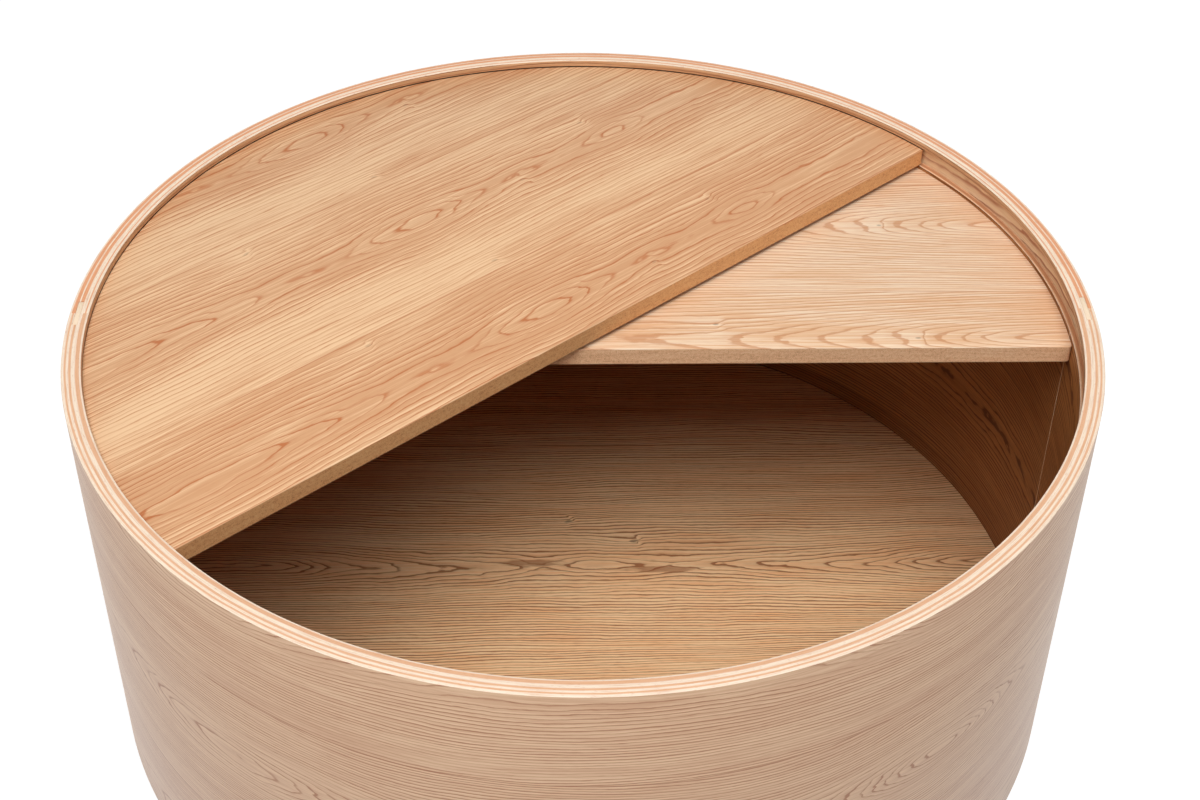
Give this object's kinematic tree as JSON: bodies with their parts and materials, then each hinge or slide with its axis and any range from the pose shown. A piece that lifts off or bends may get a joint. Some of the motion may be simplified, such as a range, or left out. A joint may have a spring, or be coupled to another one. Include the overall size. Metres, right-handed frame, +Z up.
{
  "type": "swivel coffee table",
  "caption": "Round bent-plywood drum coffee table with a fixed half top and a half lid that swivels about the centre in a groove under the rim, over open storage.",
  "frame": {"origin": "on the floor below the centre of the drum, on the lid's turning axis", "axes": "+Z up along the drum's axis, X through the two seams of the wall, -Y the front, where the fixed half top leaves the drum open"},
  "size_m": [0.8, 0.8, 0.35],
  "materials": {
    "bent_ply": "clear matt lacquer on bent plywood, ply layers bare at the rim",
    "tongue_birch": "bare pale hardwood",
    "ash_veneer": "clear matt lacquer over warm brown ash veneer",
    "mdf_core": "fibreboard, sealed bare edge",
    "cleat_beech": "planed beech",
    "brown_plastic": "moulded matt plastic",
    "white_nylon": "turned nylon",
    "zinc_steel": "zinc plated",
    "insert_brass": "turned brass"
  },
  "bodies": {
    "drum": {"front_shell": "bent_ply", "rear_shell": "bent_ply", "left_tongue": "tongue_birch", "right_tongue": "tongue_birch", "bottom_board": "mdf_core", "bottom_face_veneer": "ash_veneer", "bottom_back_veneer": "ash_veneer", "fixed_top_board": "mdf_core", "fixed_top_face_veneer": "ash_veneer", "fixed_top_back_veneer": "ash_veneer", "cleat_1": "cleat_beech", "cleat_2": "cleat_beech", "cleat_3": "cleat_beech", "cleat_4": "cleat_beech", "cleat_5": "cleat_beech", "cleat_wall_screws": "zinc_steel", "cleat_panel_screws": "zinc_steel", "floor_glide_1": "brown_plastic", "floor_glide_2": "brown_plastic", "floor_glide_3": "brown_plastic", "floor_glide_4": "brown_plastic", "floor_glide_5": "brown_plastic", "floor_glide_6": "brown_plastic", "glide_nails": "zinc_steel", "pivot_bush": "white_nylon", "pivot_spacer": "white_nylon"},
    "lid": {"lid_board": "mdf_core", "lid_face_veneer": "ash_veneer", "lid_back_veneer": "ash_veneer", "lid_glide_1": "white_nylon", "lid_glide_2": "white_nylon", "lid_glide_3": "white_nylon", "lid_glide_4": "white_nylon", "lid_glide_5": "white_nylon", "pivot_insert": "insert_brass", "pivot_pin": "zinc_steel", "pivot_washer": "zinc_steel", "pivot_clip": "zinc_steel"}
  },
  "joints": [
    {"name": "lid_swivel", "type": "hinge", "parent": "drum", "child": "lid", "pos_m": [0, 0, 0.3355], "axis": [0, 0, 1], "continuous": true}
  ]
}
